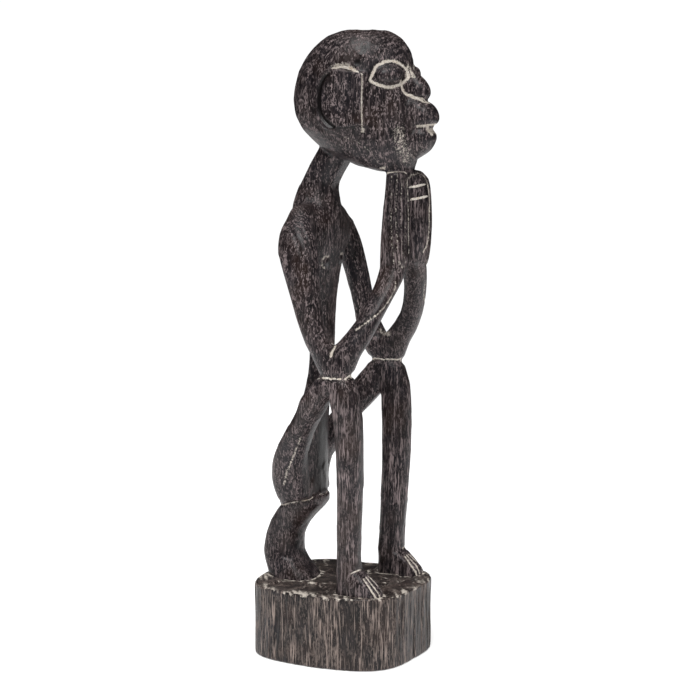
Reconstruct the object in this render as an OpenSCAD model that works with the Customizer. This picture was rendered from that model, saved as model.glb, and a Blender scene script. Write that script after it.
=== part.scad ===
// A seated ancestor figure carved from one log: a man on a curved post, elbows on his knees and
// hands under his chin, on a round plinth. Pale paste fills the cut lines and stands a little proud.
// The figure looks along -Y, its right side is at -X, and the plinth rests on Z = 0.

/* [Plinth] */
// Width of the plinth, side to side
plinth_w = 101; // [94:1:120]
// Depth of the plinth, front to back
plinth_d = 110; // [104:1:124]
// Height of the plinth
plinth_h = 47; // [25:1:70]

/* [Figure] */
// Height of the figure above the plinth
figure_h = 355; // [320:1:390]
// Distance from the middle to each knee and elbow
knee_x = 40; // [39:0.5:42]
// Half the thickness of a shin
limb_r = 8; // [7:0.1:8.6]

/* [Face] */
// Length of each eye
eye_w = 25; // [20:1:27]
// Height of each eye
eye_h = 17; // [12:1:19]
// Distance from the middle to the outer face of each ear
ear_x = 35; // [33:0.5:36]

/* [Paste lines] */
// Width of the filled lines
line_w = 1.8; // [1:0.1:2.4]
// How far the paste stands out of the lines
line_d = 0.6; // [0.4:0.1:1]

/* [Hidden] */

right = -1;
left = 1;
sides = 20;
wood = "#3b302b";
pale = "#d8d0c0";

// The stations below were laid out for these sizes; each is scaled from them.
drawn_figure_h = 355;
drawn_knee_x = 40;
drawn_limb_r = 8;
stretch = figure_h / drawn_figure_h;
spread = knee_x / drawn_knee_x;
girth = limb_r / drawn_limb_r;

// The plinth and the figure, each moved back a little so that the whole is centred on the origin.
plinth_y = 5;
figure_y = 1.4;

// Middle of the tilted joint between post and body.
seat_z = 52.5;
seat_y = 30;
seat_tilt = 17;
// Heights above the plinth of the knees, the wrists and the underside of the chin.
knee_z = 140;
wrist_z = 208;
chin_z = 267;
// The upright cut that parts shin from thigh, and forearm from upper arm.
bend_y = -8;
// Larger than anything that a cutting block has to reach.
reach = 200;

// Each station is [height above plinth, sideways, back, half width, half depth].
pillar_rows = [[0, 0, 38, 16, 16.5], [5, 0, 42, 14.5, 14.5], [13, 0, 46, 13, 13], [20, 0, 46.5, 12, 12.5],
    [28, 0, 45, 12, 12], [36, 0, 41, 13, 12.5], [43, 0, 35.6, 14.5, 13.6], [50, 0, 30.4, 16.5, 14],
    [62, 0, 30.4, 17, 14]];
foot_rows = [[0, 33, -23.4, 9, 15.8], [3, 33, -23.2, 9, 15.3], [6, 33, -21.8, 9, 13.5],
             [10, 33, -20, 8.6, 11.3],
    [13, 33, -18, 8.2, 9.4], [15, 33, -16, 8, 8]];
shin_rows = [[15, 33, -16.2, 8, 8], [28, 34, -16.6, 7.8, 7.4],
              [46, 35.4, -17.6, 8, 7.8], [66, 36.8, -18.6, 8, 8.1],
    [90, 38.2, -19, 8.2, 8.4], [108, 39, -18.4, 8.6, 9], [122, 40, -17, 8.8, 9.3],
    [134, 40, -14.4, 8.4, 9.4], [140, 40, -10.5, 7, 10.5]];
// The left shin is a little stouter than the right.
shin_left_rows = [[15, 33, -16.4, 8, 8.8], [28, 34, -16.8, 7.8, 8.4], [46, 35.4, -17.4, 8, 8.8],
    [66, 36.8, -18, 8, 9.2], [90, 38.2, -18, 8.2, 9.6], [108, 39, -17.2, 8.6, 10], [122, 40, -16, 8.8, 10],
    [134, 40, -13.4, 8.4, 9.6], [140, 40, -10.5, 7, 10.5]];
thigh_rows = [[44, 12, 31, 7, 7], [52, 15, 30.6, 10.5, 9.6],
              [60, 17, 31.6, 12, 11.8], [67, 18.6, 32.2, 12, 12],
    [78, 22, 31.4, 11.2, 11.2], [92, 28, 25, 10, 10.3], [106, 34, 15.8, 9.2, 9], [116, 37, 8.5, 9, 9],
    [125, 39.4, 3.6, 8.8, 10.2], [134, 40, -3, 8, 9], [140, 40, -6, 7, 7]];
// The left thigh is a little deeper behind the knee and slimmer at the hip.
thigh_left_rows = [[44, 12, 31, 7, 7], [52, 15, 31.4, 10.5, 8.6],
                   [60, 17, 33.2, 12, 10], [67, 18.6, 34.2, 12, 10],
    [78, 22, 32.2, 11.2, 10.4], [92, 28, 25, 10, 10.3], [106, 34, 14.6, 9.2, 10.6], [116, 37, 6.4, 9, 11.4],
    [125, 39.4, 1.8, 8.8, 12], [134, 40, -3.6, 8, 9.6], [140, 40, -6, 7, 7]];
pelvis_rows = [[44, 0, 33, 15, 11], [53, 0, 33, 18, 14], [66, 0, 32.6, 20, 14.5], [78, 0, 31, 19.5, 12.5],
    [92, 0, 28, 18.5, 9.8], [104, 0, 25.4, 16.5, 8], [118, 0, 23, 14.6, 6.6]];
torso_rows = [[118, 0, 23, 14.6, 6.6], [130, 0, 20.4, 13, 6.6],
              [149, 0, 18.6, 12, 6.6], [170, 0, 19.3, 14, 7.6],
    [183, 0, 20.5, 17.5, 8.8], [195, 0, 20.6, 20.5, 9.8], [207, 0, 20, 24.5, 10.4],
    [219, 0, 18.6, 30, 10.8], [230, 0, 18.6, 32, 11.6], [237, 0, 20, 27, 13.6],
    [241, 0, 21.4, 21, 15], [245, 0, 22, 16.4, 15]];
neck_rows = [[245, 0, 22, 16.4, 15], [254, 0, 21.2, 13, 12.9], [260, 0, 19, 12, 12], [270, 0, 13.4, 12, 12.3],
    [282, 0, 6, 12, 12]];
upper_arm_left_rows = [[140, 40, -10.5, 7, 10.5], [150, 40, -4.4, 8, 11.4], [162, 41, 2.4, 8, 8.4],
    [175, 42, 7, 8, 7.2], [188, 42, 10.2, 8.4, 7], [203, 41.4, 14, 9, 7.8],
    [216, 39.6, 17.4, 9.4, 8.8], [227, 36, 19.4, 9, 8.6], [235, 31, 20.6, 8, 7.4], [241, 25, 21.4, 6, 6],
    [246, 19, 21.6, 4.4, 5]];
upper_arm_rows = [[140, 40, -10.5, 7, 10.5], [150, 40, -5.8, 8, 10], [162, 41, 2.6, 8, 7.9],
    [175, 42, 6.8, 8, 8.2], [188, 42, 9.8, 8.4, 9.2], [203, 41.4, 12.8, 9, 11.6],
    [216, 40, 15.8, 9.6, 12.8], [227, 37, 17.6, 9.8, 12],
    [235, 32.4, 18.8, 9, 9.2], [241, 26.5, 20.2, 7, 7.6],
    [246, 20, 21, 5, 6]];
forearm_left_rows = [[140, 40, -10.5, 7, 10.5], [153, 38.6, -15, 7, 11.4], [161, 36.4, -22.4, 7, 9.4],
    [174, 31, -31.4, 7, 7.2], [187, 24.6, -36.4, 7, 7], [198, 17.4, -39.6, 7.2, 7.4],
    [208, 10, -41.6, 8.2, 8]];
forearm_rows = [[140, 40, -10.5, 7, 10.5], [153, 38.4, -14, 7, 11.8], [161, 35.6, -20.4, 7, 10],
    [174, 30, -27.6, 7, 7.8], [187, 22.6, -32.4, 7, 7.6], [198, 15.4, -35.4, 7.2, 8.2],
    [208, 10, -37, 8, 8.8]];
hand_right_rows = [[208, 10, -37, 8, 8.6], [218, 9.6, -37.4, 9.2, 8.4], [237, 9.4, -38, 9.2, 7.6],
    [255, 9.4, -39, 9.2, 6.8], [267, 9.4, -39.4, 9, 6.4]];
hand_left_rows = [[208, 10, -41.6, 8.6, 8], [220, 10, -43.8, 9.8, 7.8], [242, 10, -44.4, 9.8, 7.4],
    [252, 10, -44.4, 9.8, 7.2], [258, 10, -44, 9.4, 6.8], [263, 10, -43, 8.8, 5.8],
    [267, 10, -41.4, 7.6, 4]];
head_rows = [[267, 0, -34, 14, 10], [271, 0, -26.6, 19, 19], [276, 0, -21.4, 23.5, 25.8],
    [281, 0, -17.6, 27, 32.6], [287, 0, -14.4, 29, 37], [294, 0, -10.4, 30.6, 40],
    [303, 0, -7, 31.6, 41], [312, 0, -5.8, 32, 40.8], [321, 0, -6, 32, 39.6], [329, 0, -6.6, 31, 38],
    [336, 0, -7.8, 29.6, 35.6], [342.5, 0, -9.4, 27.6, 32], [348, 0, -10.4, 24.8, 27.2],
    [352, 0, -11, 21, 21.6], [355, 0, -12, 14.6, 14.6]];
nose_rows = [[330, 0, -42, 3.6, 3], [326, 0, -45, 5.6, 5.6], [321, 0, -47.6, 7, 7.4], [316, 0, -48.4, 7.6, 8],
    [312, 0, -47.4, 7, 7], [309.5, 0, -45, 4.6, 4.4]];
upper_lip_rows = [[313.5, 0, -43.6, 7.4, 5.2], [310.5, 0, -46.4, 9, 8.6], [307.2, 0, -48.8, 10.4, 10.4],
    [303.2, 0, -50, 11, 11.4], [299, 0, -50.6, 10.8, 11.2], [295.5, 0, -49.6, 10, 9.4]];
lower_lip_rows = [[292.5, 0, -49.6, 9.6, 9], [289.5, 0, -50.2, 10.4, 10], [285, 0, -49.4, 10.2, 9.8],
    [280, 0, -47.6, 9, 8.4], [276, 0, -44.6, 6, 5.4], [273, 0, -42, 3, 3]];

// Middle of each eye and the way it faces, in degrees from straight ahead.
eye_at = [18.4, -37.4, 327];
eye_turn = 41;
eye_lean = 6;
eye_proud = 4.2;
// Outline of an ear: its straight front edge, its back, its foot and its top.
ear_front_y = -25;
ear_back_y = 6;
ear_foot_z = 293;
ear_top_z = 331;
ear_corner_r = 10;
ear_front_r = 3;
ear_root_x = 20;
// Reach of the cutter that draws the eye's outline, behind and before the middle of the eye.
eye_behind = 6;
eye_before = 24;
// Setback of the mouth's paste from the lips.
mouth_inset = 1;
// Heights of the two lines across the left hand and of the lines at the ankles.
finger_line_z = [257, 249.5];
ankle_line_z = 13;
// Place of the line between the palms, and its distance from the chin and from the wrist.
palm_line_x = -8;
palm_line_end = 10;
// The plinth's outline: between an ellipse and a rectangle, with three and seven slight lobes.
plinth_square = 3.1;
lobe_3 = 0.012;
lobe_3_turn = 40;
lobe_7 = 0.006;

// Rounded power of a signed value, for outlines between an ellipse and a rectangle.
function swell(v, p) = sign(v) * pow(abs(v), 2 / p);

// One outline of a member, grown or shrunk by `grow`, `side` choosing right or left.
function ring(r, side, p, narrow, grow) = [for (i = [0 : sides - 1])
    let (a = 360 * (i + 0.5) / sides, u = swell(cos(a), p), v = swell(sin(a), p))
    [side * r[1] + (r[3] + grow) * u * (1 + narrow * v), r[2] + (r[4] + grow) * v, r[0] * stretch]];

// A station between rows i and i + 1, on a smooth curve through its neighbours.
function between(rows, i, t) =
    let (n = len(rows) - 1, a = rows[max(i - 1, 0)], b = rows[i],
         c = rows[min(i + 1, n)], d = rows[min(i + 2, n)])
    0.5 * (2 * b + (c - a) * t + (2 * a - 5 * b + 4 * c - d) * t * t + (3 * b - a - 3 * c + d) * t * t * t);

function smooth(rows, steps) = [for (i = [0 : len(rows) - 2], k = [0 : steps - 1])
    between(rows, i, k / steps),
    rows[len(rows) - 1]];

// Stations of a limb, moved with the knees and thickened with the shins.
function limb(rows) = [for (r = rows) [r[0], r[1] * spread, r[2], r[3] * girth, r[4] * girth]];

// A carved member: neighbouring outlines joined two by two.
module member(rows, side = 1, p = 2.4, narrow = 0, grow = 0, steps = 2) {
    path = smooth(rows, steps);
    for (i = [0 : len(path) - 2])
        hull()
            polyhedron(
                points = concat(ring(path[i], side, p, narrow, grow),
                                ring(path[i + 1], side, p, narrow, grow)),
                faces = [[for (k = [0 : 2 * sides - 1]) k]]);
}

// A level band of the given height above the plinth.
module band(from_z, to_z) {
    translate([-reach / 2, -reach / 2, from_z * stretch])
        cube([reach, reach, (to_z - from_z) * stretch]);
}

module behind(y) translate([-reach / 2, y, -reach / 2]) cube([reach, reach, 3 * reach]);

module in_front(y) mirror([0, 1, 0]) behind(-y);

// Everything on one side of the middle.
module half(side) translate([side == left ? 0 : -reach, -reach / 2, 0]) cube([reach, reach, 3 * reach]);

// Everything under the tilted line where the figure sits on its post.
module under_seat(drop = 0) {
    translate([0, seat_y, seat_z * stretch - drop])
        rotate([-seat_tilt, 0, 0])
            translate([-reach / 2, -reach / 2, -reach])
                cube([reach, reach, reach]);
}

// A thin coat over a member, as thick as the paste stands proud.
module coat(rows, side, p) {
    difference() {
        member(rows, side, p, grow = line_d);
        member(rows, side, p);
    }
}

module raised() translate([0, figure_y, plinth_h]) children();

// ---- plinth and post ----

function plinth_r(a) =
    let (c = 2 * abs(cos(a)) / plinth_w, s = 2 * abs(sin(a)) / plinth_d)
    pow(pow(c, plinth_square) + pow(s, plinth_square), -1 / plinth_square)
        * (1 - lobe_3 * (1 + sin(3 * a + lobe_3_turn)) - lobe_7 * (1 + cos(7 * a)));

module plinth() {
    facets = 60;
    color(wood)
        translate([0, plinth_y, 0])
            linear_extrude(plinth_h)
                polygon([for (i = [0 : facets - 1])
                        let (a = 360 * i / facets) plinth_r(a) * [cos(a), sin(a)]]);
}

module pillar_shape(grow = 0) member(pillar_rows, p = 3, grow = grow);

module seat_pillar() {
    color(wood) raised()
        intersection() {
            pillar_shape();
            under_seat(line_w);
        }
}

// The pale line goes all the way around the joint, so it is one thin layer between post and body.
module seat_line() {
    color(pale) raised()
        difference() {
            intersection() {
                pillar_shape();
                under_seat();
            }
            under_seat(line_w);
        }
}

// ---- legs ----

module foot(side) color(wood) raised() member(limb(foot_rows), side, p = 3);

// The ankle line crosses the front of the leg only.
module ankle_line(side) {
    color(pale) raised()
        intersection() {
            coat(limb(foot_rows), side, p = 3);
            band(ankle_line_z - line_w / 2, ankle_line_z + line_w / 2);
            in_front(foot_rows[4][2]);
        }
}

module shin_shape(side, grow = 0)
    member(limb(side == left ? shin_left_rows : shin_rows), side, p = 2.7, grow = grow);

module thigh_shape(side, grow = 0)
    member(limb(side == left ? thigh_left_rows : thigh_rows), side, p = 2.3, grow = grow);

// The line runs around the top of the knee, where the elbow stands on it.
module knee_line(side) {
    color(pale) raised()
        intersection() {
            difference() {
                knee_shape(side, line_d);
                knee_shape(side);
            }
            band(knee_z - line_w, knee_z);
        }
}

module knee_shape(side, grow = 0) {
    intersection() {
        shin_shape(side, grow);
        in_front(bend_y);
    }
    intersection() {
        thigh_shape(side, grow);
        behind(bend_y);
    }
}

module shin(side) {
    color(wood) raised()
        difference() {
            shin_shape(side);
            behind(bend_y);
        }
}

module thigh(side) {
    color(wood) raised()
        difference() {
            thigh_shape(side);
            in_front(bend_y);
            pelvis_shape();
            under_seat();
        }
}

// ---- trunk ----

module pelvis_shape() member(pelvis_rows, p = 2.5);

module pelvis() {
    color(wood) raised()
        difference() {
            pelvis_shape();
            under_seat();
        }
}

module torso_shape() member(torso_rows, p = 2.3);

module torso() color(wood) raised() torso_shape();

module neck() {
    color(wood) raised()
        difference() {
            member(neck_rows, steps = 3);
            head_shape();
        }
}

// ---- arms and hands ----

module upper_arm(side) {
    color(wood) raised()
        difference() {
            member(limb(side == left ? upper_arm_left_rows : upper_arm_rows), side);
            in_front(bend_y);
            torso_shape();
        }
}

function forearm_path(side) = limb(side == left ? forearm_left_rows : forearm_rows);

module forearm(side) {
    color(wood) raised()
        difference() {
            member(forearm_path(side), side);
            behind(bend_y);
        }
}

function hand_path(side) = side == left ? hand_left_rows : hand_right_rows;

module hand_shape(side, grow = 0) {
    intersection() {
        member(hand_path(side), side, p = 4, grow = grow, steps = 2);
        half(side);
    }
}

module hand(side) color(wood) raised() hand_shape(side);

// A line across the front of the left hand.
module finger_line(z) {
    color(pale) raised()
        intersection() {
            difference() {
                hand_shape(left, line_d);
                hand_shape(left);
            }
            band(z - line_w / 2, z + line_w / 2);
            in_front(hand_left_rows[2][2]);
        }
}

// A line down the front of the right hand, along the crease between the palms.
module palm_line() {
    color(pale) raised()
        intersection() {
            coat(hand_right_rows, right, p = 4);
            band(wrist_z + palm_line_end, chin_z - palm_line_end);
            in_front(hand_right_rows[2][2]);
            translate([palm_line_x - line_w / 2, -reach / 2, 0])
                cube([line_w, reach, 3 * reach]);
        }
}

// ---- head ----

face_narrow = 0.08;

module head_shape(grow = 0) member(head_rows, p = 2.1, narrow = face_narrow, grow = grow, steps = 1);

module almond(w, h) {
    r = (w * w / 4 + h * h / 4) / h;
    intersection_for (s = [-1, 1])
        translate([0, s * (r - h / 2)])
            circle(r = r, $fn = 72);
}

module at_eye(side) {
    translate([side * eye_at[0], eye_at[1], eye_at[2] * stretch])
        rotate([0, 0, side * eye_turn])
            rotate([90, 0, 0])
                rotate([0, 0, side * -eye_lean])
                    children();
}

module eye_line(side) {
    color(pale) raised()
        intersection() {
            difference() {
                head_shape(line_d);
                head_shape();
            }
            at_eye(side)
                translate([0, 0, -eye_behind])
                    linear_extrude(eye_behind + eye_before)
                        difference() {
                            almond(eye_w, eye_h);
                            almond(eye_w - 3 * line_w, eye_h - 2 * line_w);
                        }
        }
}

module eye(side) {
    color(wood) raised()
        difference() {
            at_eye(side)
                resize([eye_w - 4 * line_w, eye_h - 3 * line_w, 2 * eye_proud])
                    sphere(r = 5, $fn = 20);
            head_shape();
        }
}

module ear_outline(inset = 0) {
    offset(delta = -inset)
        hull() {
            for (z = [ear_foot_z + ear_corner_r, ear_top_z - ear_corner_r])
                translate([ear_back_y - ear_corner_r, z])
                    circle(r = ear_corner_r, $fn = 32);
            translate([ear_front_y, ear_foot_z + ear_front_r])
                square([ear_front_r, ear_top_z - ear_foot_z - 2 * ear_front_r]);
        }
}

// Stands the ear's outline up against the side of the head.
module at_ear(side) {
    scale([side, 1, stretch])
        rotate([90, 0, 90])
            children();
}

module ear_shape(side) {
    difference() {
        at_ear(side)
            translate([0, 0, ear_root_x])
                linear_extrude(ear_x - ear_root_x)
                    ear_outline();
        head_shape();
    }
}

// The line runs up the ear's front edge and back along its top.
module ear_line(side) {
    color(pale) raised()
        at_ear(side)
            translate([0, 0, ear_x])
                linear_extrude(line_d)
                    difference() {
                        ear_outline();
                        ear_outline(line_w);
                        translate([ear_front_y + 2 * line_w, 0])
                            square([reach, ear_foot_z + 2 * ear_corner_r]);
                    }
}

module ear(side) color(wood) raised() ear_shape(side);

module nose_shape(grow = 0) member(nose_rows, p = 2.2, grow = grow, steps = 3);

module nose() {
    color(wood) raised()
        difference() {
            nose_shape();
            head_shape();
            upper_lip_shape();
        }
}

// A line on the cheek around the side and the foot of the nose.
module nose_line(side) {
    color(pale) raised()
        difference() {
            intersection() {
                head_shape(line_d);
                nose_shape(line_w);
                half(side);
            }
            head_shape();
            nose_shape();
            upper_lip_shape();
        }
}

module upper_lip_shape() member(upper_lip_rows, p = 2.3, steps = 3);

module lower_lip_shape() member(lower_lip_rows, p = 2.3, steps = 3);

module upper_lip() {
    color(wood) raised()
        difference() {
            upper_lip_shape();
            head_shape();
        }
}

module lower_lip() {
    color(wood) raised()
        difference() {
            lower_lip_shape();
            head_shape();
        }
}

// The paste that parts the lips, set back a little from both.
module mouth_line() {
    inset = [0, 0, 0, mouth_inset, mouth_inset];
    top = upper_lip_rows[len(upper_lip_rows) - 1] - inset;
    foot = lower_lip_rows[0] - inset;
    color(pale) raised()
        difference() {
            member([foot, top], p = 2.3, steps = 8);
            head_shape();
        }
}

module head() color(wood) raised() head_shape();

plinth();
seat_pillar();
foot(right);  // foot_right
foot(left);  // foot_left
shin(right);  // shin_right
shin(left);  // shin_left
thigh(right);  // thigh_right
thigh(left);  // thigh_left
pelvis();
torso();
neck();
head();
ear(right);  // ear_right
ear(left);  // ear_left
eye(right);  // eye_right
eye(left);  // eye_left
nose();
upper_lip();
lower_lip();
upper_arm(right);  // upper_arm_right
upper_arm(left);  // upper_arm_left
forearm(right);  // forearm_right
forearm(left);  // forearm_left
hand(right);  // hand_right
hand(left);  // hand_left
seat_line();
ankle_line(right);  // ankle_line_right
ankle_line(left);  // ankle_line_left
knee_line(right);  // knee_line_right
knee_line(left);  // knee_line_left
eye_line(right);  // eye_line_right
eye_line(left);  // eye_line_left
ear_line(right);  // ear_line_right
ear_line(left);  // ear_line_left
nose_line(right);  // nose_line_right
nose_line(left);  // nose_line_left
mouth_line();
palm_line();
finger_line(finger_line_z[0]);  // finger_line_upper
finger_line(finger_line_z[1]);  // finger_line_lower
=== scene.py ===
# %% [markdown]
# # A carved ancestor figure, cut from one small log
# The seated figure rests its chin on its hands, its elbows on its knees, and it was carved with
# knives and chisels from one piece of dark open-pored wood. White lime paste was rubbed into the
# cuts and the pores and then wiped off the high places.
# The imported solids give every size. They are loaded first, and nothing below moves them.

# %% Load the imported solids
import math

import bmesh
import bpy
import numpy as np
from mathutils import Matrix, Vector, noise
from mathutils.bvhtree import BVHTree


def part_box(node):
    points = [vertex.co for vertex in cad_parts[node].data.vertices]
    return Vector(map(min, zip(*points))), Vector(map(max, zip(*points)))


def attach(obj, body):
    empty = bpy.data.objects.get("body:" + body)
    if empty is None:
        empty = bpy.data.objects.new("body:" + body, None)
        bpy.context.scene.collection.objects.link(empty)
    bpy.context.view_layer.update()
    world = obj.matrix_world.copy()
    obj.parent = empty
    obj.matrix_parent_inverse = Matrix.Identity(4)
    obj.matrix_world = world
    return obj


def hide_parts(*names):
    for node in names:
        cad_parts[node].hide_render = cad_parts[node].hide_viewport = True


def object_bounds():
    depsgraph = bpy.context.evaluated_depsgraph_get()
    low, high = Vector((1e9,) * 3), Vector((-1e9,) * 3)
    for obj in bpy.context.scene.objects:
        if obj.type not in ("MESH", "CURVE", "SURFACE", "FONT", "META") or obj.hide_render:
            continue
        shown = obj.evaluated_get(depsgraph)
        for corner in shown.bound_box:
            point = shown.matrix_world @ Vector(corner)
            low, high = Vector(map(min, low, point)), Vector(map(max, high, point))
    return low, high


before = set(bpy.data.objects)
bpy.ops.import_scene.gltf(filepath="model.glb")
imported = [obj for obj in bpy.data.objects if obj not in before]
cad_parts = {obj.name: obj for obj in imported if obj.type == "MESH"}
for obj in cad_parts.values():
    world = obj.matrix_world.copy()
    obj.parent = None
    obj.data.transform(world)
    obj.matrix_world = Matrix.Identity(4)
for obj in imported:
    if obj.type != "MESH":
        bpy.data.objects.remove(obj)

solid_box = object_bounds()
paste_nodes = sorted(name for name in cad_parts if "_line" in name)
wood_nodes = sorted(set(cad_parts) - set(paste_nodes) - {"plinth"})
print(len(wood_nodes), "carved members,", len(paste_nodes), "lines of paste and a plinth")

# %% [markdown]
# ## Measures
# Everything below is worked out in millimetres, and turned into metres when a mesh is made.
# A place on the figure is given from the middle of the underside of a solid's box, so a cut
# follows its member if the solids change.

# %% Measures
MM = 0.001


def foot_of(node):
    low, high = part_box(node)
    return np.array([(low.x + high.x) / 2, (low.y + high.y) / 2, low.z]) / MM


def spots(node, *offsets):
    return foot_of(node) + np.array(offsets, float)


def mirrored(points):
    return np.array(points) * (-1, 1, 1)


low, high = (np.array(corner) / MM for corner in solid_box)
plinth_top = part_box("plinth")[1].z / MM
print("height", round(high[2] - low[2], 1), "mm, plinth", round(plinth_top, 1), "mm")

# %% [markdown]
# ## One block before many members
# A carver cuts all the limbs out of one block, so the grain and the knife marks run across the
# places where one limb meets the next. Separate lofted limbs would show a hard line there.
# So the solids are first joined into one skin by a voxel remesh, which works like pouring them
# into one mould. Later the skin is cut up again along the same members. Before that, each palm is
# pushed a little past the middle, so that the hands fuse, and what stands on the plinth is sunk
# into it, so that no gap is left.

# %% Join the solids into one skin
voxel = 0.72
palm_overlap, foot_sink = 0.8, 2.5


def solid_triangles(names):
    corners, triangles, owner, start = [], [], [], 0
    for number, name in enumerate(names):
        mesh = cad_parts[name].data
        mesh.calc_loop_triangles()
        places = np.empty(len(mesh.vertices) * 3, np.float32)
        mesh.vertices.foreach_get("co", places)
        indices = np.empty(len(mesh.loop_triangles) * 3, np.int32)
        mesh.loop_triangles.foreach_get("vertices", indices)
        corners.append(places.reshape(-1, 3) / MM)
        triangles.append(indices.reshape(-1, 3) + start)
        owner.append(np.full(len(mesh.loop_triangles), number))
        start += len(mesh.vertices)
    return np.concatenate(corners), np.concatenate(triangles), np.concatenate(owner)


def new_mesh(name, points, faces):
    mesh = bpy.data.meshes.new(name)
    mesh.from_pydata(points.tolist(), [], faces.tolist())
    return mesh


def poured(points, faces, size):
    mesh = new_mesh("mould", points, faces)
    mould = bpy.data.objects.new("mould", mesh)
    bpy.context.collection.objects.link(mould)
    skin = mould.modifiers.new("skin", "REMESH")
    skin.mode = "VOXEL"
    skin.voxel_size = size
    whole = mould.evaluated_get(bpy.context.evaluated_depsgraph_get())
    cast = bpy.data.meshes.new_from_object(whole)
    out = np.empty(len(cast.vertices) * 3, np.float32)
    cast.vertices.foreach_get("co", out)
    quads = np.empty(len(cast.loops), np.int32)
    cast.loops.foreach_get("vertex_index", quads)
    bpy.data.objects.remove(mould)
    bpy.data.meshes.remove(mesh)
    bpy.data.meshes.remove(cast)
    return out.reshape(-1, 3).astype(float), quads.reshape(-1, 4)


corners, triangles, owner = solid_triangles(wood_nodes)
filled, filled_triangles, filled_owner = solid_triangles(wood_nodes + ["seat_line", "mouth_line"])
spread = np.zeros(len(filled), int)
spread[filled_triangles.ravel()] = np.repeat(filled_owner, 3)
for side, sign in (("right", 1), ("left", -1)):
    palm = (spread == wood_nodes.index("hand_" + side)) & (np.abs(filled[:, 0]) < 2)
    filled[palm, 0] = palm_overlap * sign
filled[filled[:, 2] < plinth_top + 0.5, 2] -= foot_sink
points, quads = poured(filled, filled_triangles, voxel)
print(len(points), "points in the joined skin")

# %% [markdown]
# ## Which member each patch of skin belongs to
# Each small face takes the name of the solid that lies nearest to it. Where two solids touch, the
# nearest one changes from face to face, so every face then takes the name that most of its
# neighbours have. A few rounds of that leave a clean line.

# %% Name each patch of skin
naming_rounds = 6
solids = BVHTree.FromPolygons(corners.tolist(), triangles.tolist())


def member_of(centres):
    return np.array([owner[solids.find_nearest(centre)[2]] for centre in centres.tolist()])


member = member_of(points[quads].mean(axis=1))
for turn in range(naming_rounds):
    votes = np.zeros((len(points), len(wood_nodes)))
    for corner in range(4):
        np.add.at(votes, (quads[:, corner], member), 1)
    member = votes[quads].sum(axis=1).argmax(axis=1)
for number, name in enumerate(wood_nodes):
    print(name, int((member == number).sum()), "faces", end="; ")

# %% [markdown]
# ## Relaxing the skin
# Moving every point part of the way to the mean of its neighbours rounds the corners between the
# members, as rasp and knife do. The joints of the limbs need most of it, and the eyes, ears, lips
# and nose little, or they would melt away. The back of the shoulders gets many more rounds.

# %% Relax the skin
limb_rounds, shoulder_rounds, shoulder_reach = 14, 70, 11
edges = np.concatenate([quads[:, [a, (a + 1) % 4]] for a in range(4)])
edges = np.unique(np.sort(edges, axis=1), axis=0)
degree = np.maximum(np.bincount(edges.ravel(), minlength=len(points)), 1)


def neighbour_mean(values):
    columns = values.reshape(len(points), -1)
    total = np.empty_like(columns)
    for k in range(columns.shape[1]):
        total[:, k] = np.bincount(edges[:, 0], columns[edges[:, 1], k], len(points))
        total[:, k] += np.bincount(edges[:, 1], columns[edges[:, 0], k], len(points))
    return (total / degree[:, None]).reshape(values.shape)


def relaxed(places, rounds, share):
    places = places.copy()
    pull = np.broadcast_to(share, (len(points),))[:, None]
    for turn in range(rounds):
        places += pull * (neighbour_mean(places) - places)
    return places


def normals_of(places):
    a, b, c, d = (places[quads[:, k]] for k in range(4))
    across = np.cross(c - a, d - b)
    total = np.empty_like(places)
    for k in range(3):
        total[:, k] = np.bincount(quads.ravel(), np.repeat(across[:, k], 4), len(places))
    return total / np.maximum(np.linalg.norm(total, axis=1), 1e-9)[:, None]


point_member = np.zeros(len(points), int)
for corner in range(4):
    point_member[quads[:, corner]] = member
fine = ("eye", "nose", "lip", "ear")
softness = np.array([0.16 if any(word in name for word in fine) else 0.5 for name in wood_nodes])
softness = neighbour_mean(neighbour_mean(softness[point_member]))
points = relaxed(points, limb_rounds, softness)
shoulder_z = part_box("torso")[1].z / MM - 8
shoulder = 0.5 * np.exp(-(((points[:, 2] - shoulder_z) / shoulder_reach) ** 2)) * (points[:, 1] > -5)
points = relaxed(points, shoulder_rounds, shoulder)
print("skin from", points.min(0).round(1), "to", points.max(0).round(1))

# %% [markdown]
# ## Knife planes
# A knife leaves small flat planes, each a thumbnail wide and longer than it is wide. The skin is
# divided into patches around seed points, and each patch is pulled part of the way to its own mean
# plane. Seeds are compared by place and by the way they face, so a patch stays on one side of a
# thin limb. Three rounds of relaxing then soften the ridges as sanding does.

# %% Cut the knife planes
plane_width, plane_stretch, facing_weight, deepest_shave = 8.0, 0.55, 7.0, 0.9
rng = np.random.default_rng(7)
normals = normals_of(points)
key = np.concatenate([points * (1, 1, plane_stretch), normals * facing_weight], axis=1)
seed_count = int(len(points) * voxel**2 / plane_width**2 * plane_stretch)
seeds = key[rng.choice(len(points), seed_count, replace=False)]
reach = (seeds**2).sum(1)
patch = np.concatenate([(reach - 2 * part @ seeds.T).argmin(1) for part in np.array_split(key, 40)])
members = np.maximum(np.bincount(patch, minlength=seed_count), 1)[:, None]
centre = np.stack([np.bincount(patch, points[:, k], seed_count) for k in range(3)], 1) / members
facing = np.stack([np.bincount(patch, normals[:, k], seed_count) for k in range(3)], 1)
facing /= np.maximum(np.linalg.norm(facing, axis=1), 1e-9)[:, None]
off_plane = ((points - centre[patch]) * facing[patch]).sum(1)
hold = np.array([0.05 if any(word in name for word in fine) else 0.42 for name in wood_nodes])
hold = neighbour_mean(hold[point_member])
points -= (hold * np.clip(off_plane, -deepest_shave, deepest_shave))[:, None] * facing[patch]
points = relaxed(points, 3, softness)
print(seed_count, "knife planes")

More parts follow.
